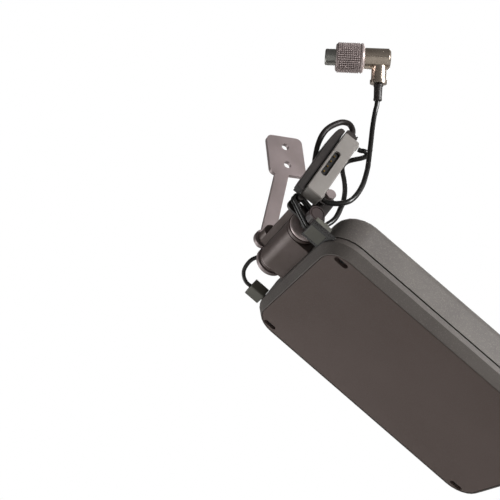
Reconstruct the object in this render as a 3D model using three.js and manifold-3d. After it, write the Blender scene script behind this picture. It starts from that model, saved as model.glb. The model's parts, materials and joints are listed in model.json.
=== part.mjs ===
// Wireless receiver unit: a flat two-shell housing that hangs from a friction hinge on a flat arm,
// with a small adapter pod beside the hinge and a host lead that ends in an elbow screw-lock plug.
// Millimetres, +Z up. The origin is the centre of the arm's mounting face, which faces +X.
import * as THREE from 'three';
import { mergeVertices } from 'three/addons/utils/BufferGeometryUtils.js';
import Module from 'manifold-3d';

const wasm = await Module();
wasm.setup();

// ---------------------------------------------------------------- driving dimensions

const GAP = 0.3; // play between pieces that meet

// The receiver frame has its origin on the hinge axis. +X runs along the axis, +Y down the housing
// and +Z from the front cover to the back.
const HINGE = { x: 19.5, y: -18.8, z: -78 }; // the receiver frame's origin in the part's own frame
const TILT = 40.5; // degrees by which the housing hangs below the horizontal at rest

const HOUSING = {
  width: 113, length: 181.9, depth: 30.5, corner: 17.8, wall: 2,
  top: 11.6, // the top end's distance from the hinge axis
  front: -20, // the front face's place behind the hinge axis
  chamferIn: 4.2, chamferDeep: 5.2, bezelDeep: 8.4, seam: 1, backRound: 7,
};
const BACK = HOUSING.front + HOUSING.depth;
const MIDDLE = HOUSING.top + HOUSING.length / 2; // the housing's centre along Y
const SEAM_FRONT = HOUSING.front + HOUSING.bezelDeep;
const SHELL_FRONT = SEAM_FRONT + HOUSING.seam;

const COVER = {
  inset: 4.9, thick: 3.4, screwX: 46.8, screwY: 14.2,
  recessWidth: 3.8, recessLength: 8.8, recessDeep: 2.5, head: 1.5,
};
const LEDGE = 13.5; // width of the bezel's ledge, from the outer edge inwards
const SCREW_HOLE = 1.3;
const BOARD = { width: 84, length: 158, thick: 1.6, front: -7.4 };
const PORT = { x: 42.3, z: -10.4, width: 11.6, thick: 7, reach: 10.4, mouth: 7.4, mouthThick: 3.2 };
const DATA_EXIT = { x: 42.8, y: 7.6, radius: 2.3, proud: 2.6 }; // the sleeve on the data plug's back

const BARREL = { radius: 9.2, bore: 7.65, from: -15.7, to: 20.7, footBack: 5 };
const ROD = { radius: 7.35, from: -23, head: 9.2, headFrom: 24.5, to: 26.2 };
const YOKE = {
  farRadius: 8.9, nearRadius: 9.6, far: -19.2, near: 24.2, cheek: 2.2,
  barTop: -13.2, barBottom: -3, barFront: 3.2, barBack: 12, boss: 4.2,
};
const STUD = { radius: 3.6, thread: 2, from: 26.5, to: 35.2 };
const KNOB = { radius: 4.7, from: 35.5, to: 41.4, cap: 3.7 };

const ARM = {
  thick: 3, width: 9.2, hub: 9.8, lug: 6.2, strapTo: -69,
  plateWidth: 26, plateHeight: 30, hole: 2.6, holeGap: 14,
};
const STRAP_LEAN = 18.2; // degrees by which the strap leans towards +Y on its way up to the mounting face
const LUG = { y: -12.3, z: 8 }; // the arm bolt's axis, in the receiver frame
const BOLT = { radius: 2, head: 3.6, headHigh: 2.6, reach: 8 };

const POD = { x: 39.5, y: -10.4, z: 34, width: 10.9, length: 52.4, thick: 9, wall: 1.6, lean: 3.2 };
const CRADLE = { wall: 2.4 };
const SLOT = { y: -1.9, z: -1.2, length: 21.4, width: 3.9 };
const GLAND = { from: -5.2, to: 2.8, high: 4 };
const THUMB = { y: -0.7, z: 19.3, radius: 3 };
const BRACKET = { from: 28.4, to: 30.2, post: 1.7, postY: -12.7, postZ: 5.3, postTo: 36 };
const TETHER = { radius: 1.05, places: [31.5, 33.8], wrap: 0.3 };

const PLUG = {
  x: 62, y: -30.7, z: 107.2, // the elbow's centre, in the receiver frame
  heading: 246.2, pitch: 9.1, roll: 22, // degrees: where the nose and the outlet point, in the part's frame
  body: 6.4, back: 6.4, front: 9.2, outlet: 4.6, collar: 5.2, outletDown: 15.4, bootDown: 25.9,
  nut: 9.3, lip: 2.2, nutFrom: 9.5, nutTo: 26.5, nutBore: 5.4, nutThread: 7, nose: 5, noseTo: 33,
};

const POWER_DIAMETER = 2.6;
const DATA_DIAMETER = 3;
const LEAD_DIAMETER = 3.1;

// Power cable: from the left-hand plug, round the hinge's far end, behind the barrel and over to the
// pod's top boot.
const POWER_ROUTE = [
  [-42.3, 0.7, -10.4], [-42.8, -2.2, -10.1], [-42.3, -5.6, -8.8], [-40.4, -8.4, -6.6], [-36.6, -9.6, -4.2],
  [-31.8, -9.3, -1.4], [-28.8, -6.5, 2.2], [-27.8, -1.2, 6.4], [-26.4, 4.2, 8.8], [-23.6, 7.6, 10.2],
  [-18, 8.8, 11.8], [-10, 8.8, 12.8], [2, 8.6, 13.2], [14, 8.2, 13.4], [21.4, 6.4, 14.6],
  [24.6, 2, 17.8], [25.6, -4, 23.2], [26.4, -10.2, 28.8], [27.6, -15.6, 33.2], [28.3, -18.8, 37],
];
// The moulded boot that carries the power cable over into the gland at the pod's top end.
const BOOT_ROUTE = [
  [28.4, -19.1, 37.6], [29.4, -22, 43.2], [30.8, -24.9, 49.6], [33, -26.7, 55.3], [35, -26.9, 60.6],
  [37, -24.8, 66.7], [38, -22.2, 70.6], [38.8, -18.8, 71.8], [39.3, -15.4, 69.8], [39.5, -13.5, 66.6],
  [39.5, -13.3, 65],
];
const BOOT_DIAMETER = 3.6;

// Data cable: from the back of the right-hand plug, up behind the pod and round into its side.
const DATA_ROUTE = [
  [42.8, 7.6, -4], [42.9, 8, -2.2], [43, 8.8, 0.6], [43, 9.2, 3.8], [42.8, 8.9, 8.4], [42.4, 8.1, 13.1],
  [41.9, 7.4, 17.5], [40.8, 5.3, 24.2], [38.8, 2.9, 30.6], [35.6, -0.4, 38.1], [33.3, -3.1, 43.3],
  [32.2, -5, 47.2], [32, -5.5, 50.6], [32.8, -4.8, 53.4], [34.4, -3.4, 54.9], [36.2, -2, 55.8],
  [38.4, 0.1, 57.5], [40, 1.2, 59.4], [41.1, 0.4, 60.8], [41.4, -1.6, 60], [41.2, -3.4, 58.7],
  [41.1, -4.9, 58.15],
];

// Host lead: out of the pod's side, down into a hanging bend and up to the elbow plug's boot.
const LEAD_ROUTE = [
  [39.5, -2.4, 12.2], [39.6, -1.2, 12], [41.2, -0.1, 10.7], [43.2, 2.8, 11], [45, 5.4, 12.3],
  [46.4, 7.6, 14.3],
  [47.1, 9.1, 16.8], [47.4, 9.9, 20.4], [47.5, 10.2, 24.6], [47.5, 9.9, 29.3], [47.4, 9.2, 33.9],
  [47.2, 7.6, 40.1], [47, 5.5, 46.6], [46.8, 3, 52.6], [46.7, 0.4, 58.5], [46.8, -2.8, 65.4],
  [47.2, -6.9, 73.8], [48, -10.2, 80.7], [49.2, -12.3, 84.9], [50.4, -13.6, 87.4], [51.3, -14.8, 89.1],
];

// ---------------------------------------------------------------- solids

const radians = THREE.MathUtils.degToRad;

function bare(geometry) {
  const copy = geometry.index ? geometry.toNonIndexed() : geometry.clone();
  for (const name of Object.keys(copy.attributes)) if (name !== 'position') copy.deleteAttribute(name);
  return copy;
}

function solid(geometry) {
  const merged = mergeVertices(bare(geometry), 1e-4);
  return new wasm.Manifold(new wasm.Mesh({
    numProp: 3,
    vertProperties: merged.attributes.position.array,
    triVerts: new Uint32Array(merged.index.array),
  }));
}

function surface(manifold) {
  const mesh = manifold.getMesh();
  const geometry = new THREE.BufferGeometry();
  geometry.setAttribute('position', new THREE.BufferAttribute(new Float32Array(mesh.vertProperties), 3));
  geometry.setIndex(new THREE.BufferAttribute(new Uint32Array(mesh.triVerts), 1));
  const flat = geometry.toNonIndexed();
  flat.computeVertexNormals();
  return flat;
}

const join = (...parts) => surface(parts.map(solid).reduce((a, b) => a.add(b)));
const cut = (body, ...tools) => surface(tools.map(solid).reduce((a, b) => a.subtract(b), solid(body)));

function block(x0, x1, y0, y1, z0, z1) {
  return new THREE.BoxGeometry(x1 - x0, y1 - y0, z1 - z0)
    .translate((x0 + x1) / 2, (y0 + y1) / 2, (z0 + z1) / 2);
}

// A cylinder or cone along X, Y or Z, between two places on its axis and centred at (a, b) across it.
function bar(axis, from, to, radius, a = 0, b = 0, sides = 24, endRadius = radius) {
  const geometry = new THREE.CylinderGeometry(endRadius, radius, to - from, sides)
    .translate(0, (from + to) / 2, 0);
  if (axis === 'x') return geometry.rotateZ(-Math.PI / 2).translate(0, a, b);
  if (axis === 'z') return geometry.rotateX(Math.PI / 2).translate(a, b, 0);
  return geometry.translate(a, 0, b);
}

// The corners of a rectangle with rounded corners, centred at (0, y), anticlockwise seen from +Z.
function roundedOutline(width, length, radius, y = 0, steps = 6) {
  const points = [];
  const centres = [[1, 1, 0], [-1, 1, 90], [-1, -1, 180], [1, -1, 270]];
  for (const [sx, sy, start] of centres) {
    for (let i = 0; i <= steps; i += 1) {
      const angle = radians(start + (90 * i) / steps);
      points.push([
        sx * (width / 2 - radius) + radius * Math.cos(angle),
        y + sy * (length / 2 - radius) + radius * Math.sin(angle),
      ]);
    }
  }
  return points;
}

// A closed solid through a stack of outlines with equal numbers of points, lowest z first.
function loft(levels) {
  const positions = [];
  const count = levels[0].outline.length;
  const at = (level, i) => [...level.outline[i % count], level.z];
  for (let k = 0; k + 1 < levels.length; k += 1) {
    for (let i = 0; i < count; i += 1) {
      const [a, b] = [at(levels[k], i), at(levels[k], i + 1)];
      const [c, d] = [at(levels[k + 1], i + 1), at(levels[k + 1], i)];
      positions.push(...a, ...b, ...c, ...a, ...c, ...d);
    }
  }
  const caps = [[levels[0], true], [levels[levels.length - 1], false]];
  for (const [level, under] of caps) {
    const contour = level.outline.map(([x, y]) => new THREE.Vector2(x, y));
    for (const [i, j, k] of THREE.ShapeUtils.triangulateShape(contour, [])) {
      positions.push(...(under ? [...at(level, k), ...at(level, j), ...at(level, i)]
        : [...at(level, i), ...at(level, j), ...at(level, k)]));
    }
  }
  const geometry = new THREE.BufferGeometry();
  geometry.setAttribute('position', new THREE.BufferAttribute(new Float32Array(positions), 3));
  return geometry;
}

// The housing's rounded rectangle, drawn in from its outer edge by inset, at each of the given heights.
function housingLevels(...levels) {
  return loft(levels.map(([z, inset]) => ({
    z,
    outline: roundedOutline(
      HOUSING.width - 2 * inset, HOUSING.length - 2 * inset, Math.max(HOUSING.corner - inset, 2), MIDDLE,
    ),
  })));
}

// A flat outline in the Y-Z plane, made into a plate between two places on X.
function plateAcrossX(outline, from, to) {
  const shape = new THREE.Shape(outline.map(([y, z]) => new THREE.Vector2(y, z)));
  return new THREE.ExtrudeGeometry(shape, { depth: to - from, bevelEnabled: false, curveSegments: 8 })
    .rotateX(Math.PI / 2).rotateZ(Math.PI / 2).translate(from, 0, 0);
}

function circleShape(radius, sides) {
  const points = [];
  for (let i = 0; i < sides; i += 1) {
    const angle = (2 * Math.PI * i) / sides;
    points.push(new THREE.Vector2(radius * Math.cos(angle), radius * Math.sin(angle)));
  }
  return new THREE.Shape(points);
}

// A round tube along a smooth curve through the route's points.
function tube(route, diameter, steps, sides = 8) {
  const curve = new THREE.CatmullRomCurve3(route.map((p) => new THREE.Vector3(...p)), false, 'centripetal');
  const section = circleShape(diameter / 2, sides);
  return new THREE.ExtrudeGeometry(section, { steps, extrudePath: curve, bevelEnabled: false });
}

// A closed loop of round cord in a plane across X.
function loop(points, radius, x, sides = 8) {
  const curve = new THREE.CatmullRomCurve3(points.map(([y, z]) => new THREE.Vector3(x, y, z)), true);
  const steps = 28;
  const positions = [];
  const ring = (k) => {
    const centre = curve.getPoint((k % steps) / steps);
    const outward = curve.getTangent((k % steps) / steps).cross(new THREE.Vector3(1, 0, 0));
    return Array.from({ length: sides }, (_, i) => {
      const angle = (2 * Math.PI * i) / sides;
      return centre.clone().addScaledVector(outward, radius * Math.cos(angle))
        .add(new THREE.Vector3(radius * Math.sin(angle), 0, 0)).toArray();
    });
  };
  for (let k = 0; k < steps; k += 1) {
    const [here, next] = [ring(k), ring(k + 1)];
    for (let i = 0; i < sides; i += 1) {
      const j = (i + 1) % sides;
      positions.push(...here[i], ...next[i], ...next[j], ...here[i], ...next[j], ...here[j]);
    }
  }
  const geometry = new THREE.BufferGeometry();
  geometry.setAttribute('position', new THREE.BufferAttribute(new Float32Array(positions), 3));
  return geometry;
}

// ---------------------------------------------------------------- materials and scene graph

function finish(color, roughness, metalness = 0) {
  return new THREE.MeshStandardMaterial({ color, roughness, metalness });
}


const PAINT = {
  shell: () => finish(0x55534f, 0.75),
  bezel: () => finish(0x4b4a48, 0.6),
  cover: () => finish(0x4c4643, 0.85),
  rubber: () => finish(0x1d1c1b, 0.7),
  anodised: () => finish(0xb3a3a2, 0.4, 0.8),
  clamp: () => finish(0x5d5452, 0.55, 0.4),
  steel: () => finish(0x9a9896, 0.35, 1),
  blacked: () => finish(0x232222, 0.4, 0.8),
  black: () => finish(0x262524, 0.5),
  plug: () => finish(0x5c5c55, 0.6),
  pod: () => finish(0x999590, 0.55),
  gold: () => finish(0xc9a24a, 0.3, 1),
  brass: () => finish(0xb7a488, 0.3, 1),
  board: () => finish(0x1f4a33, 0.6),
  knob: () => finish(0x3a2e2c, 0.5),
  tin: () => finish(0xb9b9b4, 0.35, 1),
};

const part = new THREE.Group();
part.name = 'wireless_receiver_unit';
const receiver = new THREE.Group();
receiver.position.set(HINGE.x, HINGE.y, HINGE.z);
receiver.rotation.x = -radians(TILT);
part.add(receiver);

function place(group, name, geometry, material) {
  const mesh = new THREE.Mesh(geometry, material());
  mesh.name = name;
  group.add(mesh);
  return mesh;
}

// ---------------------------------------------------------------- housing

const coverScrews = [];
for (const y of [HOUSING.top + COVER.screwY, HOUSING.top + HOUSING.length - COVER.screwY]) {
  for (const x of [-COVER.screwX, COVER.screwX]) coverScrews.push([x, y]);
}
const COVER_BACK = HOUSING.front + COVER.thick;
const LEDGE_BACK = COVER_BACK + 2;

function portCut(side, grow) {
  const [x, z] = [side * PORT.x, PORT.z];
  const [w, t] = [PORT.mouth / 2 + grow, PORT.mouthThick / 2 + grow];
  return block(x - w, x + w, HOUSING.top - 1, HOUSING.top + 8, z - t, z + t);
}

function frontBezel() {
  const chamferEnd = HOUSING.front + HOUSING.chamferDeep;
  const outer = housingLevels([HOUSING.front, HOUSING.chamferIn], [chamferEnd, 0], [SEAM_FRONT, 0]);
  const pocket = housingLevels([HOUSING.front - 1, COVER.inset], [COVER_BACK + GAP, COVER.inset]);
  const opening = housingLevels([HOUSING.front, LEDGE], [SEAM_FRONT + 1, LEDGE]);
  const inside = housingLevels([LEDGE_BACK, 3.2], [SEAM_FRONT + 1, 3.2]);
  const holes = coverScrews.map(([x, y]) => bar('z', HOUSING.front, SEAM_FRONT, SCREW_HOLE, x, y, 12));
  return cut(outer, pocket, opening, inside, ...holes, portCut(-1, GAP), portCut(1, GAP));
}

function frontCover() {
  const edge = COVER.inset + GAP;
  const plate = housingLevels([HOUSING.front, edge + 0.3], [HOUSING.front + 0.3, edge], [COVER_BACK, edge]);
  const recesses = coverScrews.map(([x, y]) => {
    const outline = roundedOutline(COVER.recessWidth, COVER.recessLength, COVER.recessWidth / 2 - 0.02, y, 5);
    const ends = [HOUSING.front - 1, HOUSING.front + COVER.recessDeep];
    return loft(ends.map((z) => ({ z, outline }))).translate(x, 0, 0);
  });
  const holes = coverScrews.map(([x, y]) => bar('z', HOUSING.front, COVER_BACK + 1, SCREW_HOLE, x, y, 12));
  return cut(plate, ...recesses, ...holes);
}

function rearShell() {
  const r = HOUSING.backRound;
  const round = [0, 18, 36, 54, 72, 90].map((degrees) => {
    const angle = radians(degrees);
    return [BACK - r + r * Math.sin(angle), r - r * Math.cos(angle)];
  });
  const outer = housingLevels([SHELL_FRONT, 0], ...round);
  const inside = housingLevels(
    [SHELL_FRONT - 1, HOUSING.wall], [BACK - r, HOUSING.wall], [BACK - HOUSING.wall, r + 0.6],
  );
  const bosses = coverScrews.map(([x, y]) => bar('z', LEDGE_BACK + GAP, BACK - 1, 3.4, x, y, 16));
  const pilots = coverScrews.map(([x, y]) => bar('z', LEDGE_BACK, LEDGE_BACK + 12, 1, x, y, 10));
  const boardBack = BOARD.front + BOARD.thick;
  const posts = boardScrews.map(([x, y]) => bar('z', boardBack + GAP, BACK - 1, 2.6, x, y, 12));
  const tapped = boardScrews.map(([x, y]) => bar('z', BOARD.front, BOARD.front + 8, 0.9, x, y, 8));
  const clampHoles = clampScrews.map(([x, z]) => bar('y', HOUSING.top - 1, HOUSING.top + 3, 1.8, x, z, 12));
  const hollow = solid(outer).subtract(solid(inside));
  const within = solid(housingLevels([LEDGE_BACK, 0.8], [BACK - r, 0.8], [BACK - 1, r - 1]));
  const inner = [...bosses, ...posts].map(solid).reduce((a, b) => a.add(b)).intersect(within);
  const headRooms = clampScrews.map(([x, z]) => (
    bar('y', HOUSING.top + HOUSING.wall, HOUSING.top + HOUSING.wall + 4, CLAMP_HEAD + GAP, x, z, 16)));
  const tools = [...pilots, ...tapped, ...clampHoles, ...headRooms, portCut(-1, GAP), portCut(1, GAP)];
  return surface(tools.map(solid).reduce((a, b) => a.subtract(b), hollow.add(inner)));
}

// The seal runs round three sides and stops short of the two ports in the top end.
function sealGasket() {
  const [z0, z1] = [SEAM_FRONT + GAP - 0.05, SHELL_FRONT - GAP + 0.05];
  const ring = cut(housingLevels([z0, 0.8], [z1, 0.8]), housingLevels([z0 - 1, 1.8], [z1 + 1, 1.8]));
  const end = PORT.x + PORT.mouth / 2 + 1;
  return cut(ring, block(-end, end, HOUSING.top - 1, HOUSING.top + 9, z0 - 1, z1 + 1));
}

const boardScrews = [];
for (const y of [HOUSING.top + 20, HOUSING.top + HOUSING.length - 20]) {
  for (const x of [-36, 36]) boardScrews.push([x, y]);
}
const CLAMP_HEAD = 2.1;
const clampScrews = [];
for (const x of [-12.5, 17.5]) for (const z of [-5.6, 2.2]) clampScrews.push([x, z]);

function screw(axis, from, to, radius, head, headHigh, a, b) {
  const shank = bar(axis, from + headHigh - 0.1, to, radius, a, b, 10);
  const cap = bar(axis, from, from + headHigh, head, a, b, 16);
  const drive = bar(axis, from - 1, from + headHigh * 0.55, head * 0.45, a, b, 6);
  return cut(join(shank, cap), drive);
}

place(receiver, 'front_bezel', frontBezel(), PAINT.bezel);
place(receiver, 'front_cover', frontCover(), PAINT.cover);
place(receiver, 'rear_shell', rearShell(), PAINT.shell);
coverScrews.forEach(([x, y], i) => {
  const from = HOUSING.front + COVER.recessDeep - 1.3;
  const geometry = screw('z', from, LEDGE_BACK + 9, 0.9, COVER.head, 1, x, y);
  place(receiver, `cover_screw_${i + 1}`, geometry, PAINT.blacked);
});

// ---------------------------------------------------------------- electronics

function mainBoard() {
  const [w, y0] = [BOARD.width / 2, MIDDLE - BOARD.length / 2];
  const plate = block(-w, w, y0, y0 + BOARD.length, BOARD.front, BOARD.front + BOARD.thick);
  const holes = boardScrews.map(([x, y]) => bar('z', BOARD.front - 1, BOARD.front + 3, 1.4, x, y, 10));
  return cut(plate, ...holes);
}

function shieldCan() {
  const can = block(-26, 26, MIDDLE - 52, MIDDLE - 2, BOARD.front - 4.6, BOARD.front - GAP);
  return cut(can, block(-25.2, 25.2, MIDDLE - 51.2, MIDDLE - 2.8, BOARD.front - 3.8, BOARD.front + 1));
}

function heatSpreader() {
  const [z0, z1] = [BOARD.front + BOARD.thick + 2.2, BACK - HOUSING.wall - 1.5];
  const base = block(-28, 28, MIDDLE - 50, MIDDLE + 10, z0, z0 + 2);
  const fins = Array.from({ length: 7 }, (_, i) => {
    const x = -24 + 8 * i;
    return block(x - 1, x + 1, MIDDLE - 50, MIDDLE + 10, z0 + 1, z1);
  });
  return join(base, ...fins);
}

function patchAntenna(side) {
  const y = MIDDLE + 40;
  const tile = block(side * 20 - 14, side * 20 + 14, y - 14, y + 14, BOARD.front - 4.3, BOARD.front - GAP);
  const feed = bar('z', BOARD.front - 5, BOARD.front - 4, 1, side * 20, y - 5, 10);
  return join(tile, feed);
}

function portSocket(side) {
  const [x, z] = [side * PORT.x, PORT.z];
  const [w, t] = [PORT.mouth / 2, PORT.mouthThick / 2];
  const [y0, y1] = [HOUSING.top + 0.4, HOUSING.top + 7.6];
  const can = block(x - w, x + w, y0, y1, z - t, z + t);
  return cut(can, block(x - w + 0.5, x + w - 0.5, y0 - 1, y1 - 1.6, z - t + 0.5, z + t - 0.5));
}

// The plug's overmould stands proud of the housing, and its metal tongue goes into the socket.
function portPlug(side) {
  const [x, z] = [side * PORT.x, PORT.z];
  const [w, t] = [PORT.width / 2, PORT.thick / 2];
  const y1 = HOUSING.top - GAP;
  const outline = roundedOutline(2 * w, 2 * t, 1.2, 0, 3);
  const overmould = loft([{ z: -y1, outline }, { z: PORT.reach - y1, outline }])
    .rotateX(Math.PI / 2).translate(x, 0, z);
  const tongue = block(
    x - PORT.mouth / 2 + 0.8, x + PORT.mouth / 2 - 0.8, y1 - 0.5, HOUSING.top + 5.4,
    z - PORT.mouthThick / 2 + 0.8, z + PORT.mouthThick / 2 - 0.8,
  );
  if (side < 0) return join(overmould, tongue);
  const back = z + t;
  const sleeve = bar('z', back - 0.5, back + DATA_EXIT.proud, DATA_EXIT.radius, DATA_EXIT.x, DATA_EXIT.y, 20);
  return join(overmould, tongue, sleeve);
}

place(receiver, 'seal_gasket', sealGasket(), PAINT.rubber);
place(receiver, 'main_board', mainBoard(), PAINT.board);
place(receiver, 'rf_shield_can', shieldCan(), PAINT.tin);
place(receiver, 'heat_spreader', heatSpreader(), PAINT.steel);
place(receiver, 'antenna_patch_left', patchAntenna(-1), PAINT.plug);
place(receiver, 'antenna_patch_right', patchAntenna(1), PAINT.plug);
boardScrews.forEach(([x, y], i) => {
  const geometry = screw('z', BOARD.front - 1.7, BOARD.front + 7, 0.6, 2, 1.4, x, y);
  place(receiver, `board_screw_${i + 1}`, geometry, PAINT.steel);
});
place(receiver, 'power_socket', portSocket(-1), PAINT.tin);
place(receiver, 'data_socket', portSocket(1), PAINT.tin);
place(receiver, 'power_plug', portPlug(-1), PAINT.plug);
place(receiver, 'data_plug', portPlug(1), PAINT.plug);

// ---------------------------------------------------------------- hinge

function clampBarrel() {
  const { radius, bore, from, to, footBack } = BARREL;
  const body = join(
    bar('x', from, to, radius, 0, 0, 40),
    block(from, to, 0, HOUSING.top - GAP, -radius, footBack),
  );
  const holes = clampScrews.map(([x, z]) => bar('y', 6.2, HOUSING.top + 1, 1.3, x, z, 10));
  return cut(body, bar('x', from - 1, to + 1, bore, 0, 0, 40), ...holes);
}

// The rod runs the whole width of the hinge, from the arm's hub to its own head in front of the near cheek.
function hingeRod() {
  const { radius, from, head, headFrom, to } = ROD;
  const body = join(
    bar('x', from, headFrom + 0.5, radius, 0, 0, 40),
    bar('x', headFrom, to - 0.5, head, 0, 0, 40),
    bar('x', to - 0.5, to, head, 0, 0, 40, head - 0.4),
  );
  return cut(body, bar('x', to - 12, to + 1, STUD.thread + GAP, 0, 0, 16));
}

// Two cheeks and a bar that hugs the barrel's back, with a boss for the arm bolt at the far end.
function tiltYoke() {
  const { far, near, cheek, barTop, barBottom, barFront, barBack, boss } = YOKE;
  const saddle = cut(
    block(far + 0.5, near - 0.5, barTop, barBottom, barFront, barBack),
    bar('x', far + cheek, near - cheek, BARREL.radius + 0.6, 0, 0, 40),
  );
  const body = join(
    bar('x', far, far + cheek, YOKE.farRadius, 0, 0, 40),
    bar('x', near - cheek, near, YOKE.nearRadius, 0, 0, 40),
    saddle,
    bar('x', far, far + BOLT.reach + 2, boss, LUG.y, LUG.z, 24),
  );
  return cut(
    body,
    bar('x', far + cheek, near - cheek, BARREL.radius + 0.6, 0, 0, 40),
    bar('x', far - 1, near + 1, BARREL.bore, 0, 0, 40),
    bar('x', far - 1, far + BOLT.reach + 1, BOLT.radius + GAP, LUG.y, LUG.z, 12),
  );
}

function frictionWasher(from, to) {
  return cut(bar('x', from, to, 8.9, 0, 0, 32), bar('x', from - 1, to + 1, BARREL.bore, 0, 0, 32));
}

function tiltStud() {
  const { radius, thread, from, to } = STUD;
  return join(
    bar('x', from, to, radius, 0, 0, 20),
    bar('x', from - 10, from + 1, thread, 0, 0, 12),
    bar('x', to - 1, KNOB.to - 3, thread, 0, 0, 12),
  );
}

function lockKnob() {
  const grooves = Array.from({ length: 16 }, (_, i) => {
    const angle = (2 * Math.PI * i) / 16;
    const [y, z] = [(KNOB.radius + 0.15) * Math.cos(angle), (KNOB.radius + 0.15) * Math.sin(angle)];
    return bar('x', KNOB.from - 1, KNOB.to - 1.2, 0.45, y, z, 6);
  });
  return cut(
    bar('x', KNOB.from, KNOB.to, KNOB.radius, 0, 0, 32),
    bar('x', KNOB.to - 1.2, KNOB.to + 1, KNOB.cap + GAP, 0, 0, 24),
    bar('x', KNOB.from - 1, KNOB.to + 1, STUD.thread + GAP, 0, 0, 16),
    ...grooves,
  );
}

place(receiver, 'clamp_barrel', clampBarrel(), PAINT.clamp);
clampScrews.forEach(([x, z], i) => {
  const head = HOUSING.top + HOUSING.wall + GAP;
  const geometry = join(
    bar('y', 8, head + 0.1, 1, x, z, 10),
    cut(bar('y', head, head + 1.6, CLAMP_HEAD, x, z, 16), bar('y', head + 0.8, head + 3, 1, x, z, 6)),
  );
  place(receiver, `clamp_screw_${i + 1}`, geometry, PAINT.steel);
});
place(receiver, 'hinge_rod', hingeRod(), PAINT.anodised);
place(receiver, 'tilt_yoke', tiltYoke(), PAINT.clamp);
const farWasher = frictionWasher(YOKE.far + YOKE.cheek + GAP, BARREL.from - GAP);
const nearWasher = frictionWasher(BARREL.to + GAP, YOKE.near - YOKE.cheek - GAP);
place(receiver, 'friction_washer_far', farWasher, PAINT.anodised);
place(receiver, 'friction_washer_near', nearWasher, PAINT.anodised);
place(receiver, 'tilt_stud', tiltStud(), PAINT.steel);
place(receiver, 'tilt_lock_knob', lockKnob(), PAINT.knob);
place(receiver, 'lock_knob_cap', bar('x', KNOB.to - 0.9, KNOB.to - 0.1, KNOB.cap, 0, 0, 24), PAINT.knob);

// ---------------------------------------------------------------- arm

// The arm bolt's axis in the part's own frame.
const tilt = -radians(TILT);
const LUG_AT = {
  y: HINGE.y + LUG.y * Math.cos(tilt) - LUG.z * Math.sin(tilt),
  z: HINGE.z + LUG.y * Math.sin(tilt) + LUG.z * Math.cos(tilt),
};

// One flat plate: a hub round the hinge rod, a lug for the arm bolt, a strap and the mounting pad.
function arm() {
  const { thick, width, hub, lug, strapTo, plateWidth, plateHeight, hole, holeGap } = ARM;
  const strap = block(-thick, 0, -width / 2, width / 2, strapTo / Math.cos(radians(STRAP_LEAN)), 0)
    .rotateX(-radians(STRAP_LEAN));
  const body = join(
    strap,
    bar('x', -thick, 0, hub, HINGE.y, HINGE.z, 40),
    bar('x', -thick, 0, lug, LUG_AT.y, LUG_AT.z, 28),
    plateAcrossX(roundedOutline(plateWidth, plateHeight, 4, 0, 4), -thick, 0),
  );
  return cut(
    body,
    bar('x', -thick - 1, 1, BARREL.bore, HINGE.y, HINGE.z, 40),
    bar('x', -thick - 1, 1, BOLT.radius + GAP, LUG_AT.y, LUG_AT.z, 16),
    bar('x', -thick - 1, 1, hole, 0, holeGap / 2, 16),
    bar('x', -thick - 1, 1, hole, 0, -holeGap / 2, 16),
  );
}

place(part, 'arm', arm(), PAINT.anodised);
const outside = -ARM.thick - GAP - HINGE.x;
place(receiver, 'arm_washer', cut(
  bar('x', outside - 0.8, outside, 4.6, LUG.y, LUG.z, 24),
  bar('x', outside - 2, outside + 1, BOLT.radius + GAP, LUG.y, LUG.z, 16),
), PAINT.steel);
const boltFrom = outside - 0.8 - GAP - BOLT.headHigh;
place(receiver, 'arm_bolt', screw(
  'x', boltFrom, YOKE.far + BOLT.reach, BOLT.radius, BOLT.head, BOLT.headHigh, LUG.y, LUG.z,
), PAINT.steel);

// ---------------------------------------------------------------- pod

// The pod's own frame: +X out of its light face, +Z to its top end, origin at its middle.
const pod = new THREE.Group();
pod.position.set(POD.x, POD.y, POD.z);
pod.rotation.x = radians(POD.lean);
receiver.add(pod);

function podCase() {
  const [t, w, l] = [POD.thick / 2, POD.width / 2, POD.length / 2];
  const outline = roundedOutline(POD.width, POD.length, 1.4, 0, 3);
  const inner = roundedOutline(POD.width - 1.2, POD.length - 1.2, 0.8, 0, 3);
  const shell = loft([{ z: -t, outline }, { z: t - 0.6, outline }, { z: t, outline: inner }]);
  const turned = shell.rotateX(Math.PI / 2).rotateZ(Math.PI / 2);
  const slotOutline = roundedOutline(SLOT.width, SLOT.length, 1.6, 0, 4);
  const slot = loft([t - POD.wall - 1, t + 1].map((z) => ({ z, outline: slotOutline })))
    .rotateX(Math.PI / 2).rotateZ(Math.PI / 2).translate(0, SLOT.y, SLOT.z);
  const hollow = block(-t - 1, t - POD.wall, -w + 1.2, w - 1.2, -l + 1.2, l - 1.2);
  const leadBoss = bar('y', w - 0.6, w + 0.6, 2.4, 0, -POD.length / 2 + 4, 16);
  const dataBoss = bar('y', w - 0.6, w + 0.6, 1.9, 1.6, POD.length / 2 - 2.4, 16);
  return join(cut(turned, slot, hollow), leadBoss, dataBoss);
}

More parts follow.
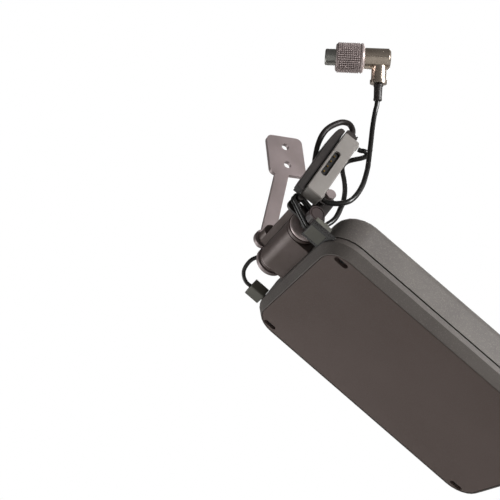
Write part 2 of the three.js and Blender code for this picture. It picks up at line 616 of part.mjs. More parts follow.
// The cradle holds the pod from behind and along its -Y side, and has a tab for the thumb screw.
function podCradle() {
  const [t, w, l] = [POD.thick / 2, POD.width / 2, POD.length / 2];
  const { wall } = CRADLE;
  pod.updateMatrix();
  const thumb = new THREE.Vector3(POD.x, THUMB.y, THUMB.z).applyMatrix4(pod.matrix.clone().invert());
  const edge = [
    [-w - 4.4, -l - 1.6], [-w - 4.8, -l + 8], [-w - 4.9, -l + 24], [-w - 5.5, -l + 37], [-w - 5.4, l - 8],
    [-w - 4.9, l - 2.4], [-w - 4.2, l + 0.8], [-w - 3.2, l + 2.4], [-w - 2, l + 2.9], [-w - GAP, l + 2.4],
    [-w - GAP, -l - 1.6],
  ];
  const cheek = plateAcrossX(edge, -t - GAP - wall, t - 2.4);
  const back = block(-t - GAP - wall, -t - GAP, -w - 1, 1.5, -l - 0.6, l - 4);
  const tabOutline = roundedOutline(13, 12, 3, 0, 3).map(([y, z]) => [y + thumb.y - 5.2, z + thumb.z]);
  const tab = plateAcrossX(tabOutline, -t - GAP - wall, -t - GAP);
  const hole = bar('x', -t - 6, -t + 1, 1.6, thumb.y, thumb.z, 12);
  const tetherRoom = block(-t - 6, -t + 0.8, -w - 9, 2, -l - 3, -l + 3);
  return cut(join(cheek, back, tab), hole, tetherRoom);
}

function contactBlock() {
  const front = POD.thick / 2 - POD.wall - GAP;
  const outline = roundedOutline(SLOT.width + 0.2, SLOT.length + 1, 1.6, 0, 3);
  return loft([front - 2, front].map((z) => ({ z, outline })))
    .rotateX(Math.PI / 2).rotateZ(Math.PI / 2).translate(0, SLOT.y, SLOT.z);
}

place(pod, 'pod_case', podCase(), PAINT.pod);
place(pod, 'pod_cradle', podCradle(), PAINT.black);

place(pod, 'pod_contact_block', contactBlock(), PAINT.black);
for (let i = 0; i < 4; i += 1) {
  const z = SLOT.z + 4.6 * (i - 1.5);
  const from = POD.thick / 2 - POD.wall;
  place(pod, `pod_contact_${i + 1}`, bar('x', from, from + 0.6, 0.5, SLOT.y - 0.5, z, 12), PAINT.gold);
}
place(pod, 'pod_board', block(-POD.thick / 2 + 1, -POD.thick / 2 + 2, -4.2, 4.2, -22, 22), PAINT.board);

// The notched gland on the pod's top end takes the power cable's boot.
function topGland() {
  const { from, to, high } = GLAND;
  const z0 = POD.length / 2 + GAP;
  return plateAcrossX([
    [from, z0], [to, z0], [to, z0 + 0.9], [to - 0.7, z0 + 0.9], [to - 0.7, z0 + 1.5], [to, z0 + 1.5],
    [to, z0 + 2.4], [to - 0.7, z0 + 2.4], [to - 0.7, z0 + 3], [to - 0.3, z0 + 3], [to - 0.3, z0 + high],
    [to - 1.2, z0 + high], [to - 1.2, z0 + high - 0.7], [to - 1.8, z0 + high - 0.7], [to - 1.8, z0 + high],
    [from + 0.9, z0 + high], [from, z0 + high - 0.9],
  ], -3, 3);
}

place(pod, 'pod_top_gland', topGland(), PAINT.black);

// The bracket sits on the hinge stud and carries the pod's cradle and the tether's post.
function podBracket() {
  const { from, to, post, postY, postZ, postTo } = BRACKET;
  const upright = plateAcrossX(roundedOutline(10, 31, 4.6, 10.4, 4).map(([y, z]) => [y + 0.2, z]), from, to);
  const side = plateAcrossX(roundedOutline(16.6, 8, 3.8, 2.9, 4).map(([y, z]) => [y - 8, z]), from, to);
  return cut(
    join(upright, side, bar('x', from + 1, postTo, post, postY, postZ, 16)),
    bar('x', from - 1, to + 1, STUD.radius + GAP, 0, 0, 20),
    bar('x', from - 1, to + 1, 1.3, THUMB.y, THUMB.z, 12),
  );
}

function thumbScrew() {
  const face = POD.x - POD.thick / 2;
  const grooves = Array.from({ length: 12 }, (_, i) => {
    const angle = (2 * Math.PI * i) / 12;
    const reach = THUMB.radius + 0.1;
    const [y, z] = [THUMB.y + reach * Math.cos(angle), THUMB.z + reach * Math.sin(angle)];
    return bar('x', face - 1, face + 4, 0.35, y, z, 6);
  });
  return cut(join(
    bar('x', face, face + 4.4, THUMB.radius, THUMB.y, THUMB.z, 24),
    bar('x', BRACKET.from - 1, face + 1, 1, THUMB.y, THUMB.z, 12),
  ), ...grooves);
}

// One strand of the rubber tether, round the stud and the bracket's post.
function tether(x) {
  const ends = [
    { y: 0, z: 0, radius: STUD.radius + TETHER.radius + TETHER.wrap, start: -96 },
    { y: BRACKET.postY, z: BRACKET.postZ, radius: BRACKET.post + TETHER.radius + TETHER.wrap, start: 84 },
  ];
  const points = ends.flatMap(({ y, z, radius, start }) => Array.from({ length: 7 }, (_, i) => {
    const angle = radians(start + 30 * i);
    return [y + radius * Math.cos(angle), z + radius * Math.sin(angle)];
  }));
  return loop(points, TETHER.radius, x);
}

place(receiver, 'pod_bracket', podBracket(), PAINT.black);
place(receiver, 'cradle_thumb_screw', thumbScrew(), PAINT.anodised);
TETHER.places.forEach((x, i) => place(receiver, `pod_tether_${i + 1}`, tether(x), PAINT.rubber));

// ---------------------------------------------------------------- cables and host lead

place(receiver, 'power_cable', tube(POWER_ROUTE, POWER_DIAMETER, 34), PAINT.rubber);
place(receiver, 'power_cable_boot', tube(BOOT_ROUTE, BOOT_DIAMETER, 16), PAINT.black);
place(receiver, 'data_cable', tube(DATA_ROUTE, DATA_DIAMETER, 28), PAINT.rubber);
place(receiver, 'host_lead', tube(LEAD_ROUTE, LEAD_DIAMETER, 24), PAINT.rubber);

// The elbow plug's own frame: +X out of its nose, -Z down its cable outlet.
const plug = new THREE.Group();
receiver.updateMatrix();
plug.position.copy(new THREE.Vector3(PLUG.x, PLUG.y, PLUG.z).applyMatrix4(receiver.matrix));
plug.rotation.order = 'ZYX';
plug.rotation.set(-radians(PLUG.roll), -radians(PLUG.pitch), radians(PLUG.heading));
part.add(plug);

function elbowBody() {
  const { body, back, front, outlet, collar, outletDown } = PLUG;
  return cut(
    join(
      bar('x', -back + 1, front, body, 0, 0, 32),
      bar('x', -back, -back + 1, body - 1, 0, 0, 32, body),
      bar('z', -outletDown, 0, outlet, 0, 0, 24),
      bar('z', -outletDown, -outletDown + 2.2, collar, 0, 0, 24),
    ),
    bar('x', front - 3, front + 1, 2.6, 0, 0, 16),
    bar('z', -outletDown - 1, -6, 2.2, 0, 0, 16),
  );
}

function couplingNut() {
  const { nut, lip, nutFrom, nutTo, nutBore, nutThread } = PLUG;
  const outer = join(
    bar('x', nutFrom, nutFrom + 0.7, nut - 1.3, 0, 0, 36, nut - 0.4),
    bar('x', nutFrom + 0.7, nutFrom + 1.3, nut - 0.4, 0, 0, 36, nut),
    bar('x', nutFrom + 1.3, nutFrom + lip, nut, 0, 0, 36),
    bar('x', nutFrom + lip, nutTo - 0.5, nut - 0.3, 0, 0, 36),
    bar('x', nutTo - 0.5, nutTo, nut - 0.3, 0, 0, 36, nut - 0.8),
  );
  return cut(
    outer,
    bar('x', nutFrom - 1, nutTo + 1, nutBore, 0, 0, 32),
    bar('x', nutFrom + 3, nutTo + 1, nutThread, 0, 0, 32),
  );
}

function plugNose() {
  const { nose, noseTo, front } = PLUG;
  return cut(
    join(
      bar('x', front + GAP, noseTo - 0.8, nose, 0, 0, 28),
      bar('x', noseTo - 0.8, noseTo, nose, 0, 0, 28, nose - 0.5),
    ),
    bar('x', noseTo - 12, noseTo + 1, nose - 1, 0, 0, 24),
    block(noseTo - 9, noseTo + 1, -0.7, 0.7, nose - 1.6, nose + 1),
  );
}

function plugContacts() {
  const { noseTo } = PLUG;
  const pins = Array.from({ length: 6 }, (_, i) => {
    const angle = (2 * Math.PI * i) / 6;
    return bar('x', noseTo - 4.4, noseTo - 1.4, 0.4, 2 * Math.cos(angle), 2 * Math.sin(angle), 8);
  });
  return join(bar('x', noseTo - 4.7, noseTo - 4.1, 2.7, 0, 0, 20), ...pins);
}

place(plug, 'plug_elbow', elbowBody(), PAINT.brass);
place(plug, 'plug_boot', bar('z', -PLUG.bootDown, -PLUG.outletDown - GAP, 2.7, 0, 0, 20, 2.9), PAINT.black);
place(plug, 'coupling_nut', couplingNut(), PAINT.anodised);
place(plug, 'plug_nose', plugNose(), PAINT.tin);
const insulator = bar('x', PLUG.noseTo - 11.7, PLUG.noseTo - 5, PLUG.nose - 1 - GAP, 0, 0, 24);
place(plug, 'plug_insulator', insulator, PAINT.pod);
place(plug, 'plug_contacts', plugContacts(), PAINT.gold);

export default part;
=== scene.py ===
import json
import math

import bmesh
import bpy
from mathutils import Matrix, Vector


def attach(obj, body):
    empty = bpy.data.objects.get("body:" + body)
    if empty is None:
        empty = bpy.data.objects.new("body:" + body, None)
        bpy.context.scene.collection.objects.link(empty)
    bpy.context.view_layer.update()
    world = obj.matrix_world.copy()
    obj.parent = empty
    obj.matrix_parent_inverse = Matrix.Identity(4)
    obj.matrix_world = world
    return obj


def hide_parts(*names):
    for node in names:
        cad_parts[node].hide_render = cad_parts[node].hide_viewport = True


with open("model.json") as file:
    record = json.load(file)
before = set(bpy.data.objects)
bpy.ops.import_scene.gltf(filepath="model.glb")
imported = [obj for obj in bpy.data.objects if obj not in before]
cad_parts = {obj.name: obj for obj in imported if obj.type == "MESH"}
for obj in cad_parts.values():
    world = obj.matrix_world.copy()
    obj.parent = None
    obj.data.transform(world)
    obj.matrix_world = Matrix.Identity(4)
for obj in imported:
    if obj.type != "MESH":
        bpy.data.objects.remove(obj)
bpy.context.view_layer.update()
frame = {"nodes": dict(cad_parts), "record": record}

MM = 0.001
RECORD = frame["record"]
BODY_OF = {n: body for body, nodes in RECORD["behaviour"]["bodies"].items() for n in nodes}
SLOT_OF = {s["node"]: s["material_slot"] for s in RECORD["subparts"]}

# ------------------------------------------------------------------ frames

HINGE = Vector((19.5, -18.8, -78.0))
TILT = math.radians(40.5)
RECEIVER = Matrix.Translation(HINGE) @ Matrix.Rotation(-TILT, 4, "X")
PLUG_AT = (
    Matrix.Translation(RECEIVER @ Vector((62.0, -30.7, 107.2)))
    @ Matrix.Rotation(math.radians(246.2), 4, "Z")
    @ Matrix.Rotation(math.radians(-9.1), 4, "Y")
    @ Matrix.Rotation(math.radians(-22.0), 4, "X")
)

# ------------------------------------------------------------------ camera

CAMERA_AT = Vector((0.4065, -0.2245, -0.2850))
VIEW_DIRECTION = Vector((-0.8162, 0.3698, 0.4438))
VIEW_UP = Vector((0.4409, -0.0976, 0.8922))

camera_data = bpy.data.cameras.new("camera")
camera = bpy.data.objects.new("camera", camera_data)
bpy.context.scene.collection.objects.link(camera)
back = -VIEW_DIRECTION.normalized()
right = VIEW_UP.cross(back).normalized()
up = back.cross(right)
camera.matrix_world = Matrix((
    (right.x, up.x, back.x, CAMERA_AT.x),
    (right.y, up.y, back.y, CAMERA_AT.y),
    (right.z, up.z, back.z, CAMERA_AT.z),
    (0, 0, 0, 1),
))
camera_data.sensor_width = 36
camera_data.lens = 58.65
camera_data.shift_x = 0.0231
camera_data.shift_y = -0.0289
camera_data.clip_start = 0.01
camera_data.clip_end = 20
bpy.context.scene.camera = camera
bpy.context.scene.view_settings.view_transform = "Standard"

# ------------------------------------------------------------------ materials

def linear(code):
    """A six-digit colour code as linear RGBA."""
    values = [int(code[i:i + 2], 16) / 255 for i in (0, 2, 4)]
    return [v / 12.92 if v <= 0.04045 else ((v + 0.055) / 1.055) ** 2.4 for v in values] + [1]


ROUGH_SPREAD, ROUGH_LEAST = 0.1, 0.03


def material(name, dark, light, rough, metal, blotch, grain, bump, depth, speckle=None, coat=0.0):
    """Colour drifts between dark and light in broad blotches, and a fine grain moves roughness and relief.

    blotch and grain are noise scales per metre, and depth is the height of the relief in metres.
    speckle is (colour, cells per metre, share of cells) for fine bright flecks.
    """
    made = bpy.data.materials.new(name)
    made.use_nodes = True
    nodes, links = made.node_tree.nodes, made.node_tree.links
    shader = nodes["Principled BSDF"]
    place = nodes.new("ShaderNodeTexCoord")
    source = place.outputs["Object"]

    def noise(vector, scale, detail):
        node = nodes.new("ShaderNodeTexNoise")
        node.inputs["Scale"].default_value = scale
        node.inputs["Detail"].default_value = detail
        links.new(vector, node.inputs["Vector"])
        return node.outputs["Fac"]

    def remap(value, low, high, to_low, to_high):
        node = nodes.new("ShaderNodeMapRange")
        ends = (("From Min", low), ("From Max", high), ("To Min", to_low), ("To Max", to_high))
        for socket, number in ends:
            node.inputs[socket].default_value = number
        links.new(value, node.inputs["Value"])
        return node.outputs["Result"]

    def mix(factor, a, b):
        node = nodes.new("ShaderNodeMix")
        node.data_type = "RGBA"
        links.new(factor, node.inputs["Factor"])
        for socket, value in ((6, a), (7, b)):
            if isinstance(value, list):
                node.inputs[socket].default_value = value
            else:
                links.new(value, node.inputs[socket])
        return node.outputs[2]

    fine = noise(source, grain, 3)
    colour = mix(remap(noise(source, blotch, 4), 0.35, 0.65, 0, 1), linear(dark), linear(light))
    if speckle:
        fleck, cells, share = speckle
        cell = nodes.new("ShaderNodeTexVoronoi")
        cell.inputs["Scale"].default_value = cells
        links.new(source, cell.inputs["Vector"])
        split = nodes.new("ShaderNodeSeparateColor")
        links.new(cell.outputs["Color"], split.inputs["Color"])
        colour = mix(remap(split.outputs["Red"], 1 - share, 1, 0, 1), colour, linear(fleck))
    links.new(colour, shader.inputs["Base Color"])
    smoothest, roughest = max(rough - ROUGH_SPREAD, ROUGH_LEAST), min(rough + ROUGH_SPREAD, 1)
    links.new(remap(fine, 0.3, 0.7, smoothest, roughest), shader.inputs["Roughness"])
    relief = nodes.new("ShaderNodeBump")
    relief.inputs["Strength"].default_value = bump
    relief.inputs["Distance"].default_value = depth
    links.new(fine, relief.inputs["Height"])
    links.new(relief.outputs["Normal"], shader.inputs["Normal"])
    shader.inputs["Metallic"].default_value = metal
    shader.inputs["Coat Weight"].default_value = coat
    return made


LOOKS = {
    "shell": material(
        "textured_shell", "5f5a57", "6a6561", 0.6, 0.0, 26, 3000, 0.6, 0.00014,
        speckle=("7b756f", 2800, 0.2),
    ),
    # Painted shade: the shell's textured paint made darker for the bezel, whose chamfer faces away from
    # the key lamp.
    "bezel": material(
        "textured_bezel_painted_shade", "544e4b", "5f5955", 0.58, 0.0, 26, 3000, 0.5, 0.00014,
        speckle=("6a645f", 2800, 0.2),
    ),
    "cover": material(
        "grained_cover", "554742", "5f514d", 0.68, 0.0, 11, 3600, 0.3, 0.00008,
        speckle=("60544f", 3000, 0.3),
    ),
    "rubber": material("cable_jacket", "151413", "1f1d1c", 0.3, 0.0, 90, 1600, 0.12, 0.00008, coat=0.25),
    "anodised": material("anodised_metal", "8b7f7e", "9d9090", 0.4, 0.3, 40, 3600, 0.12, 0.00006),
    "clamp": material("satin_clamp", "51443f", "5d504d", 0.42, 0.25, 60, 3000, 0.2, 0.00008),
    "steel": material("screw_steel", "8f8d8b", "a3a19f", 0.34, 0.9, 90, 2600, 0.15, 0.0001),
    "blacked": material("black_oxide", "0a0a0a", "141312", 0.42, 0.2, 120, 2600, 0.15, 0.00006),
    "black": material("moulded_black", "231e1d", "302a28", 0.42, 0.0, 50, 2800, 0.22, 0.00008),
    "plug": material("moulded_plug", "504f47", "5c5b51", 0.5, 0.0, 80, 2800, 0.25, 0.00008),
    "pod": material("moulded_pod", "827d79", "8e8985", 0.44, 0.0, 50, 3200, 0.16, 0.00006),
    "gold": material("contact_gold", "8a6a30", "ac8842", 0.3, 1.0, 200, 2800, 0.1, 0.00004),
    "brass": material("brushed_plating", "c4b5a6", "d8cabb", 0.22, 1.0, 120, 1500, 0.12, 0.00004),
    "board": material("board_laminate", "173d29", "1f4a33", 0.35, 0.0, 200, 1800, 0.2, 0.00008),
    "knob": material("knob_plastic", "2a1d1c", "392928", 0.46, 0.0, 90, 2800, 0.18, 0.00008),
    "tin": material("tinned_metal", "a5a5a0", "b9b9b4", 0.34, 1.0, 90, 2000, 0.15, 0.0001),
}
# Painted light: a lighter copy of the anodised metal for the hinge rod and the coupling nut, standing in
# for light the lamps don't bring to them.
ANODISED_PAINTED_LIGHT = material("anodised_painted_light", "b9aaa8", "cbbcba", 0.34, 0.3, 40, 3600, 0.12, 0.00006)
CONTACT_SEAT = material("contact_seat", "0b0a09", "141211", 0.5, 0.0, 120, 2600, 0.15, 0.00006)
OWN_LOOK = {"hinge_rod": ANODISED_PAINTED_LIGHT, "coupling_nut": ANODISED_PAINTED_LIGHT, "pod_contact_block": CONTACT_SEAT}


def look_of(node):
    """A node's own look where it differs from the rest of its slot, or else the slot's. The rod's and the
    nut's own look is a lighter copy of the anodised metal: painted light.
    """
    return OWN_LOOK.get(node) or LOOKS[SLOT_OF[node]]


# ------------------------------------------------------------------ making pieces

def register(obj, body, slot, *nodes):
    """Ties a piece to a body, in the place of the CAD nodes it stands for. slot is not used."""
    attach(obj, body)
    if nodes:
        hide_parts(*nodes)
    return obj


def smooth(mesh, degrees):
    """Smooth shading, with edges sharper than the angle kept hard."""
    mesh.shade_smooth()
    mesh.set_sharp_from_angle(angle=math.radians(degrees))


def piece(node, place, points, faces, degrees):
    """A mesh that stands for a CAD node, from points in millimetres in the frame that place gives."""
    mesh = bpy.data.meshes.new(node + "_look")
    mesh.from_pydata([(place @ Vector(p)) * MM for p in points], [], faces)
    edit = bmesh.new()
    edit.from_mesh(mesh)
    bmesh.ops.recalc_face_normals(edit, faces=edit.faces)
    edit.to_mesh(mesh)
    edit.free()
    smooth(mesh, degrees)
    mesh.materials.append(look_of(node))
    obj = bpy.data.objects.new(node + "_look", mesh)
    bpy.context.scene.collection.objects.link(obj)
    return register(obj, BODY_OF[node], SLOT_OF[node], node)


def spline(points, per_span):
    """A centripetal Catmull-Rom curve through the points, with per_span steps between neighbours."""
    inner = [Vector(p) for p in points]
    run = [2 * inner[0] - inner[1]] + inner + [2 * inner[-1] - inner[-2]]
    out = []
    for p0, p1, p2, p3 in zip(run, run[1:], run[2:], run[3:]):
        d0, d1, d2 = [(b - a).length ** 0.5 for a, b in ((p0, p1), (p1, p2), (p2, p3))]
        t1 = ((p1 - p0) / d0 - (p2 - p0) / (d0 + d1) + (p2 - p1) / d1) * d1
        t2 = ((p2 - p1) / d1 - (p3 - p1) / (d1 + d2) + (p3 - p2) / d2) * d1
        square = -3 * p1 + 3 * p2 - 2 * t1 - t2
        cube = 2 * p1 - 2 * p2 + t1 + t2
        for k in range(per_span):
            s = k / per_span
            out.append(p1 + t1 * s + square * s ** 2 + cube * s ** 3)
    return out + [inner[-1]]


def sweep(node, line, radius, sides=14, closed=False):
    """A round tube along a line of points in the receiver's frame. radius is a number or one per point."""
    count = len(line)
    radii = radius if isinstance(radius, list) else [radius] * count
    points, faces = [], []
    normal = None
    for k, centre in enumerate(line):
        ahead = line[(k + 1) % count] if closed else line[min(k + 1, count - 1)]
        behind = line[k - 1] if closed or k else line[0]
        tangent = (ahead - behind).normalized()
        if normal is None:
            normal = tangent.orthogonal()
        normal = (normal - tangent * normal.dot(tangent)).normalized()
        across = tangent.cross(normal)
        for i in range(sides):
            angle = 2 * math.pi * i / sides
            points.append(centre + radii[k] * (math.cos(angle) * normal + math.sin(angle) * across))
    for k in range(count if closed else count - 1):
        for i in range(sides):
            j, after = (i + 1) % sides, (k + 1) % count
            faces.append((k * sides + i, k * sides + j, after * sides + j, after * sides + i))
    if not closed:
        faces.append(tuple(range(sides)))
        faces.append(tuple(range((count - 1) * sides, count * sides)))
    return piece(node, RECEIVER, points, faces, 50)


def lathe(node, place, profile, sides, degrees, ridge=None):
    """A closed outline of (x, radius) turned round the X axis. ridge(x, side) adds to the radius."""
    points, faces = [], []
    for side in range(sides):
        angle = 2 * math.pi * side / sides
        for x, radius in profile:
            out = radius + (ridge(x, side) if ridge else 0)
            points.append((x, out * math.cos(angle), out * math.sin(angle)))
    count = len(profile)
    for i in range(sides):
        for k in range(count):
            a, b = i * count, ((i + 1) % sides) * count
            faces.append((a + k, a + (k + 1) % count, b + (k + 1) % count, b + k))
    return piece(node, place, points, faces, degrees)


MERGE_WITHIN, FLAT_WITHIN, HARD_EDGE = 2e-6, math.radians(0.6), 35


def softened(node, width, segments=2):
    """A CAD node's own shape with its hard edges rounded over, by width in millimetres."""
    made = frame["nodes"][node].data.copy()
    edit = bmesh.new()
    edit.from_mesh(made)
    bmesh.ops.remove_doubles(edit, verts=edit.verts, dist=MERGE_WITHIN)
    bmesh.ops.dissolve_limit(edit, angle_limit=FLAT_WITHIN, verts=edit.verts, edges=edit.edges)
    edit.to_mesh(made)
    edit.free()
    obj = bpy.data.objects.new(node + "_look", made)
    bpy.context.scene.collection.objects.link(obj)
    bevel = obj.modifiers.new("round", "BEVEL")
    bevel.width = width * MM
    bevel.segments = segments
    bevel.limit_method = "ANGLE"
    bevel.angle_limit = math.radians(HARD_EDGE)
    bevel.use_clamp_overlap = True
    made.shade_smooth()
    weighted = obj.modifiers.new("flat", "WEIGHTED_NORMAL")
    weighted.mode = "FACE_AREA"
    weighted.weight = 100
    weighted.keep_sharp = True
    depsgraph = bpy.context.evaluated_depsgraph_get()
    final = bpy.data.meshes.new_from_object(obj.evaluated_get(depsgraph))
    obj.modifiers.clear()
    obj.data = final
    smooth(final, HARD_EDGE)
    final.materials.clear()
    final.materials.append(look_of(node))
    return register(obj, BODY_OF[node], SLOT_OF[node], node)


for name, obj in frame["nodes"].items():
    obj.data.materials.clear()
    obj.data.materials.append(look_of(name))

# ------------------------------------------------------------------ host lead and its elbow plug

LEAD_ROUTE = [
    (39.5, -2.4, 12.2), (39.6, -1.2, 12), (41.2, -0.1, 10.7), (43.2, 2.8, 11), (45, 5.4, 12.3),
    (46.4, 7.6, 14.3), (47.1, 9.1, 16.8), (47.4, 9.9, 20.4), (47.5, 10.2, 24.6), (47.5, 9.9, 29.3),
    (47.4, 9.2, 33.9), (47.2, 7.6, 40.1), (47, 5.5, 46.6), (46.8, 3, 52.6), (46.7, 0.4, 58.5),
    (46.8, -2.8, 65.4), (47.2, -6.9, 73.8), (48, -10.2, 80.7), (49.2, -12.3, 84.9), (50.4, -13.6, 87.4),
    (51.3, -14.8, 89.1),
]
LEAD_DIAMETER = 3.1

NUT = {"radius": 9.05, "from": 9.5, "lip": 2.2, "to": 26.5, "bore": 5.4, "thread": 7.0}
KNURL = {"columns": 42, "rows": 11, "proud": 0.5, "slope": 0.22, "steps": 5, "raised": (1, 2, 3)}
# Painted shade for the floor of the knurl, multiplied into the nut's colour.
GROOVE_SHADE = (0.26, 0.23, 0.23, 1)
CURVE_STEPS = 5
GASKET = {"from": 0.1, "to": 2.6, "margin": 1.3}

lead_line = spline(LEAD_ROUTE, CURVE_STEPS)
lead = sweep("host_lead", lead_line, LEAD_DIAMETER / 2)


def coupling_nut():
    """A turned sleeve with a rounded lip at the elbow, and square knurled pads over the rest of it."""
    base = NUT["radius"] - KNURL["proud"]
    start, end = NUT["from"] + NUT["lip"] + 0.5, NUT["to"] - 0.9
    r, lip_from = NUT["radius"], NUT["from"]
    thread, bore = NUT["thread"], NUT["bore"]
    inner = [(NUT["to"] - 0.4, thread), (lip_from + 3, thread), (lip_from + 3, bore)]
    profile = [
        (lip_from, bore), (lip_from, r - 1.6), (lip_from + 0.15, r - 0.9), (lip_from + 0.5, r - 0.3),
        (lip_from + 1.0, r), (lip_from + 1.6, r), (lip_from + 2.0, r - 0.15), (lip_from + 2.2, base - 0.1),
        (start, base - 0.1),
    ]
    rows, columns, slope = KNURL["rows"], KNURL["columns"], KNURL["slope"]
    pitch = (end - start) / rows
    for row in range(rows):
        x = start + row * pitch
        across = (0.02, slope, pitch - slope, pitch - 0.02)
        profile += [(x + part, base) for part in across]
    profile += [(end + 0.1, base - 0.1), (end + 0.5, base - 0.2), (NUT["to"], base - 0.8)] + inner
    pads = set()
    for row in range(rows):
        x = start + row * pitch
        pads |= {round(x + slope, 4), round(x + (pitch - slope), 4)}

    def ridge(x, side):
        return KNURL["proud"] if round(x, 4) in pads and side % KNURL["steps"] in KNURL["raised"] else 0

    nut = lathe("coupling_nut", PLUG_AT, profile, columns * KNURL["steps"], 20, ridge)
    paint_groove_shade(nut, base, start, end)
    return nut


def paint_groove_shade(nut, base, start, end):
    """Painted shade: a darker colour on the floor of the knurl, where shade falls between the pads, held
    in a colour attribute.
    """
    inverse = PLUG_AT.inverted()
    # The relief attribute holds the painted shade: darker where the surface sits low between the pads.
    relief = nut.data.color_attributes.new("relief", "FLOAT_COLOR", "POINT")
    for vertex, shade in zip(nut.data.vertices, relief.data):
        at = inverse @ (vertex.co / MM)
        low = math.hypot(at.y, at.z) < base + 0.05 and start - 0.3 < at.x < end + 0.3
        shade.color = GROOVE_SHADE if low else (1, 1, 1, 1)
    look = nut.data.materials[0].copy()
    look.name = "knurled_metal_painted_light_and_shade"
    nodes, links = look.node_tree.nodes, look.node_tree.links
    colour = nodes["Principled BSDF"].inputs["Base Color"]
    shade, mix = nodes.new("ShaderNodeAttribute"), nodes.new("ShaderNodeVectorMath")
    shade.attribute_name = "relief"
    mix.operation = "MULTIPLY"
    links.new(colour.links[0].from_socket, mix.inputs[0])
    links.new(shade.outputs["Color"], mix.inputs[1])
    links.new(mix.outputs["Vector"], colour)
    nut.data.materials[0] = look


def port_gasket(plug):
    """A slab along the plug's cover side, wider than the plug, that sinks into the plug and the bezel."""
    inverse = RECEIVER.inverted()
    corners = [inverse @ (v.co / MM) for v in frame["nodes"][plug].data.vertices]
    low = [min(corner[k] for corner in corners) for k in range(3)]
    high = [max(corner[k] for corner in corners) for k in range(3)]
    margin = GASKET["margin"]
    points = []
    for z in (low[2] + GASKET["from"], low[2] + GASKET["to"]):
        for x in (low[0] - margin, high[0] + margin):
            for y in (low[1] - margin / 3, high[1] + margin):
                points.append((x, y, z))
    faces = [(0, 1, 3, 2), (4, 6, 7, 5), (0, 4, 5, 1), (2, 3, 7, 6), (0, 2, 6, 4), (1, 5, 7, 3)]
    mesh = bpy.data.meshes.new(plug + "_gasket")
    mesh.from_pydata([(RECEIVER @ Vector(p)) * MM for p in points], [], faces)
    gasket = bpy.data.objects.new(plug + "_gasket", mesh)
    bpy.context.scene.collection.objects.link(gasket)
    mesh.materials.append(LOOKS["rubber"])
    return register(gasket, "receiver", "rubber")


def plug_boot():
    """A sleeve that tapers a little from the elbow's collar to the lead, with a ring at each end."""
    top, bottom = -15.7, -25.9
    outline = [
        (top, 1.6), (top, 2.6), (top - 0.2, 2.85), (top - 1.3, 2.9), (top - 1.5, 2.7), (top - 2.0, 2.6),
        (bottom + 1.6, 2.45), (bottom + 1.4, 2.6), (bottom + 0.4, 2.6), (bottom, 2.2), (bottom, 1.6),
    ]
    return lathe("plug_boot", PLUG_AT @ Matrix.Rotation(-math.pi / 2, 4, "Y"), outline, 40, 30)


nut = coupling_nut()
port_gasket("data_plug")
boot = plug_boot()
elbow = softened("plug_elbow", 0.5, 3)
nose = softened("plug_nose", 0.2)

# ------------------------------------------------------------------ power and data cables

POWER_ROUTE = [
    (-42.3, 0.7, -10.4), (-42.8, -2.2, -10.1), (-42.3, -5.6, -8.8), (-40.4, -8.4, -6.6),
    (-36.6, -9.6, -4.2), (-31.8, -9.3, -1.4), (-28.8, -6.5, 2.2), (-27.8, -1.2, 6.4), (-26.4, 4.2, 8.8),
    (-23.6, 7.6, 10.2), (-18, 8.8, 11.8), (-10, 8.8, 12.8), (2, 8.6, 13.2), (14, 8.2, 13.4),
    (21.4, 6.4, 14.6), (24.6, 2, 17.8), (25.6, -4, 23.2), (26.4, -10.2, 28.8), (27.6, -15.6, 33.2),
    (28.3, -18.8, 37),
]
BOOT_ROUTE = [
    (28.4, -19.1, 37.6), (29.4, -22, 43.2), (30.8, -24.9, 49.6), (33, -26.7, 55.3), (35, -26.9, 60.6),
    (37, -24.8, 66.7), (38, -22.2, 70.6), (38.8, -18.8, 71.8), (39.3, -15.4, 69.8), (39.5, -13.5, 66.6),
    (39.5, -13.3, 65),
]
DATA_ROUTE = [
    (42.8, 7.6, -4), (42.9, 8, -2.2), (43, 8.8, 0.6), (43, 9.2, 3.8), (42.8, 8.9, 8.4),
    (42.4, 8.1, 13.1), (41.9, 7.4, 17.5), (40.8, 5.3, 24.2), (38.8, 2.9, 30.6), (35.6, -0.4, 38.1),
    (33.3, -3.1, 43.3), (32.2, -5, 47.2), (32, -5.5, 50.6), (32.8, -4.8, 53.4), (34.4, -3.4, 54.9),
    (36.2, -2, 55.8), (38.4, 0.1, 57.5), (40, 1.2, 59.4), (41.1, 0.4, 60.8), (41.4, -1.6, 60),
    (41.2, -3.4, 58.7), (41.1, -4.9, 58.15),
]
POWER_RADIUS, DATA_RADIUS = 1.3, 1.5
BOOT_STEPS, BOOT_THIN, BOOT_SWELL, BOOT_TAPER_STEPS = 6, 1.35, 0.45, 18

sweep("power_cable", spline(POWER_ROUTE, CURVE_STEPS), POWER_RADIUS)
sweep("data_cable", spline(DATA_ROUTE, CURVE_STEPS), DATA_RADIUS)
boot_line = spline(BOOT_ROUTE, BOOT_STEPS)
boot_radii = [BOOT_THIN + BOOT_SWELL * min(k / BOOT_TAPER_STEPS, 1) for k in range(len(boot_line))]
sweep("power_cable_boot", boot_line, boot_radii)

# ------------------------------------------------------------------ tether

STUD_RADIUS, POST_RADIUS, POST_AT = 3.6, 1.7, (-12.7, 5.3)
TETHER_RADIUS, TETHER_WRAP = 1.05, 0.3
ARC_STEPS, ARC_STEP = 18, 10


def tether(node, x):
    """A rubber ring round the hinge stud and the bracket's post."""
    ends = (((0, 0), STUD_RADIUS, -96), (POST_AT, POST_RADIUS, 84))
    line = []
    for (y, z), radius, start in ends:
        reach = radius + TETHER_RADIUS + TETHER_WRAP
        for step in range(ARC_STEPS + 1):
            angle = math.radians(start + ARC_STEP * step)
            line.append(Vector((x, y + reach * math.cos(angle), z + reach * math.sin(angle))))
    return sweep(node, line, TETHER_RADIUS, 12, closed=True)


tether("pod_tether_1", 31.5)
tether("pod_tether_2", 33.8)

# ------------------------------------------------------------------ housing, hinge, arm and pod

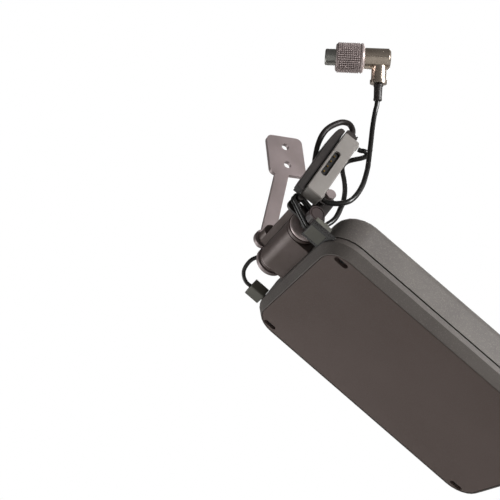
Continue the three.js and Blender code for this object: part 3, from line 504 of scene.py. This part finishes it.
SOFTENED = {
    "front_bezel": (0.5, 3), "front_cover": (0.25, 2), "rear_shell": (0.4, 3), "clamp_barrel": (0.35, 3),
    "hinge_rod": (0.3, 3), "tilt_yoke": (0.4, 3), "tilt_stud": (0.2, 2), "tilt_lock_knob": (0.35, 3),
    "lock_knob_cap": (0.3, 3), "arm": (0.35, 3), "arm_washer": (0.15, 2), "arm_bolt": (0.3, 3),
    "power_plug": (0.6, 3), "data_plug": (0.6, 3), "pod_case": (0.8, 3), "pod_cradle": (0.6, 3),
    "pod_bracket": (0.35, 3), "pod_top_gland": (0.18, 2), "cradle_thumb_screw": (0.3, 3),
    "cover_screw_1": (0.25, 2), "cover_screw_2": (0.25, 2), "cover_screw_3": (0.25, 2),
    "cover_screw_4": (0.25, 2),
}
for name, (width, segments) in SOFTENED.items():
    softened(name, width, segments)

# ------------------------------------------------------------------ lights and stage

CENTRE = Vector((0.02, 0.0, -0.09))


def area_light(name, at, size, power):
    """A rectangular lamp aimed at the middle of the unit."""
    data = bpy.data.lights.new(name, "AREA")
    data.shape = "RECTANGLE"
    data.size, data.size_y = size
    data.energy = power
    lamp = bpy.data.objects.new(name, data)
    lamp.location = at
    lamp.rotation_euler = (CENTRE - Vector(at)).to_track_quat("-Z", "Y").to_euler()
    bpy.context.scene.collection.objects.link(lamp)


area_light("key", (1.38, 1.0, -0.3), (0.7, 0.9), 47)
area_light("front", (-0.5, -0.62, -0.25), (0.4, 0.5), 3.0)
area_light("top", (-0.9, 0.9, 0.9), (0.8, 0.8), 9)

# The background is white to the camera. What it lends as light falls off towards TOP_END, the way the
# housing's top end faces.
TOP_END = (0, -0.65, 0.76)
AMBIENT_AWAY, AMBIENT_TOWARDS = 0.46, 0.06

world = bpy.data.worlds.new("studio")
bpy.context.scene.world = world
world.use_nodes = True
world_nodes, world_links = world.node_tree.nodes, world.node_tree.links
seen = world_nodes["Background"]
seen.inputs["Color"].default_value = (1, 1, 1, 1)
seen.inputs["Strength"].default_value = 1.0
ambient = world_nodes.new("ShaderNodeBackground")
ambient.inputs["Color"].default_value = (1.0, 0.98, 0.96, 1)
direction = world_nodes.new("ShaderNodeTexCoord")
along = world_nodes.new("ShaderNodeVectorMath")
strength = world_nodes.new("ShaderNodeMapRange")
ends = (("From Min", -1), ("From Max", 1), ("To Min", AMBIENT_AWAY), ("To Max", AMBIENT_TOWARDS))
for socket, value in ends:
    strength.inputs[socket].default_value = value
along.operation = "DOT_PRODUCT"
along.inputs[1].default_value = TOP_END
world_links.new(direction.outputs["Generated"], along.inputs[0])
world_links.new(along.outputs["Value"], strength.inputs["Value"])
world_links.new(strength.outputs["Result"], ambient.inputs["Strength"])
which = world_nodes.new("ShaderNodeLightPath")
either = world_nodes.new("ShaderNodeMixShader")
world_links.new(which.outputs["Is Camera Ray"], either.inputs["Fac"])
world_links.new(ambient.outputs["Background"], either.inputs[1])
world_links.new(seen.outputs["Background"], either.inputs[2])
world_links.new(either.outputs["Shader"], world_nodes["World Output"].inputs["Surface"])

FLOOR_Z, FLOOR_HALF = -0.42, 6
corners = [(x * FLOOR_HALF, y * FLOOR_HALF, FLOOR_Z) for x, y in ((-1, -1), (1, -1), (1, 1), (-1, 1))]
floor_mesh = bpy.data.meshes.new("floor")
floor_mesh.from_pydata(corners, [], [(0, 1, 2, 3)])
floor = bpy.data.objects.new("floor", floor_mesh)
bpy.context.scene.collection.objects.link(floor)
floor_mesh.materials.append(material("floor_paper", "e9e9e7", "efefed", 0.9, 0.0, 2, 300, 0.05, 0.0002))
